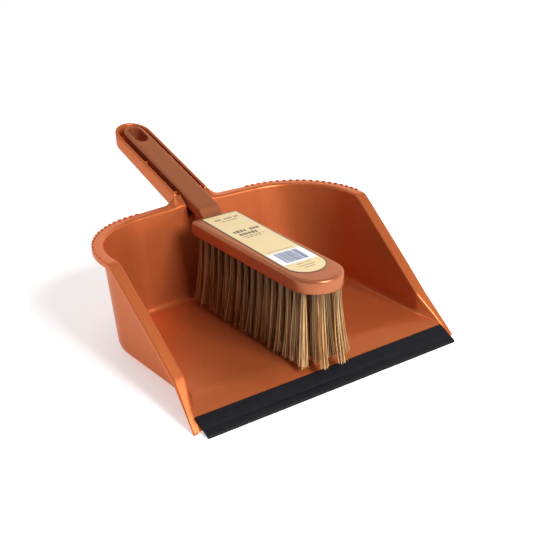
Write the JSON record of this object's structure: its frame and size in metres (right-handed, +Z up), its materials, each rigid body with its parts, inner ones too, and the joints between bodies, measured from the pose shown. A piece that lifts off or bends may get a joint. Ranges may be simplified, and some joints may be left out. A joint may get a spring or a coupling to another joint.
{
  "type": "dust pan and brush set",
  "caption": "Deep-walled dust pan with a rubber lip and a channel handle that holds a long-bristled hand brush.",
  "frame": {"origin": "middle of the bounding box's base, on the surface that the set stands on", "axes": "+Z up, +Y from the rubber lip towards the handle, +X to the right seen from the lip's side"},
  "size_m": [0.3164, 0.4042, 0.143],
  "materials": {
    "pan_plastic": "satin metallic copper moulded plastic",
    "brush_plastic": "satin metallic copper moulded plastic",
    "lip_rubber": "matt black rubber",
    "label_card": "printed paper label, satin",
    "bristle": "tan synthetic filament",
    "staple": "drawn steel wire"
  },
  "bodies": {
    "pan": {"pan_body": "pan_plastic", "rubber_lip": "lip_rubber"},
    "brush": {"brush_body": "brush_plastic", "label": "label_card", "bristle_row_01": "bristle", "bristle_row_02": "bristle", "bristle_row_03": "bristle", "bristle_row_04": "bristle", "bristle_row_05": "bristle", "bristle_row_06": "bristle", "bristle_row_07": "bristle", "bristle_row_08": "bristle", "bristle_row_09": "bristle", "bristle_row_10": "bristle", "bristle_row_11": "bristle", "bristle_row_12": "bristle", "bristle_row_13": "bristle", "bristle_row_14": "bristle", "bristle_row_15": "bristle", "bristle_row_16": "bristle", "bristle_row_17": "bristle", "staple_row_01": "staple", "staple_row_02": "staple", "staple_row_03": "staple", "staple_row_04": "staple", "staple_row_05": "staple", "staple_row_06": "staple", "staple_row_07": "staple", "staple_row_08": "staple", "staple_row_09": "staple", "staple_row_10": "staple", "staple_row_11": "staple", "staple_row_12": "staple", "staple_row_13": "staple", "staple_row_14": "staple", "staple_row_15": "staple", "staple_row_16": "staple", "staple_row_17": "staple"}
  },
  "joints": [
    {"name": "brush_lift", "type": "slide", "parent": "pan", "child": "brush", "axis": [0, 0.0776, 0.997], "range_m": [0, 0.16]}
  ]
}
